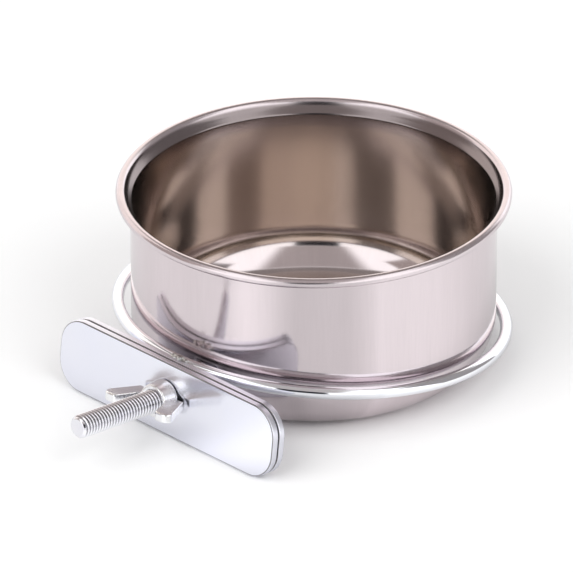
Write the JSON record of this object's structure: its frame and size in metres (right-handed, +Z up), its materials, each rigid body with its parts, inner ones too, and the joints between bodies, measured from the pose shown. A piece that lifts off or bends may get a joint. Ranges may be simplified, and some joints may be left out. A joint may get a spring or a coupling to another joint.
{
  "type": "hanging dog bowl",
  "caption": "Small round metal bowl standing loose in a wire ring, with a two-plate screw clamp and wing nut for fixing the ring to a cage.",
  "frame": {"origin": "centre of the bowl's flat underside, on the table", "axes": "+Z up along the bowl's axis, -Y from the bowl towards the clamp and its screw, +X along the clamp plates"},
  "size_m": [0.1022, 0.1378, 0.0472],
  "materials": {
    "polished_stainless": "mirror-polished stainless steel sheet",
    "bright_wire": "bright nickel-plated steel wire",
    "zinc_plate": "bluish zinc-plated steel, satin",
    "zinc_screw": "zinc-plated steel thread, slightly iridescent",
    "zinc_nut": "zinc-plated pressed or cast wing nut, satin"
  },
  "bodies": {
    "holder": {"holder_ring": "bright_wire", "back_plate": "zinc_plate", "clamp_bolt": "zinc_screw"},
    "bowl_body": {"bowl": "polished_stainless"},
    "plate_body": {"clamp_plate": "zinc_plate"},
    "nut_body": {"wing_nut": "zinc_nut"}
  },
  "joints": [
    {"name": "bowl_lift", "type": "slide", "parent": "holder", "child": "bowl_body", "axis": [0, 0, 1], "range_m": [-0.0259, 0.025]},
    {"name": "clamp_slide", "type": "slide", "parent": "holder", "child": "plate_body", "axis": [0, -0.9933, 0.1158], "range_m": [0, 0.024]},
    {"name": "nut_spin", "type": "hinge", "parent": "plate_body", "child": "nut_body", "pos_m": [0.0033, -0.0565, 0.01041], "axis": [0, -0.9933, 0.1158], "range_deg": [0, 8640]}
  ],
  "couplings": [
    {"joint": "nut_spin", "follows": "clamp_slide", "rad_per_m": 6283.2}
  ]
}
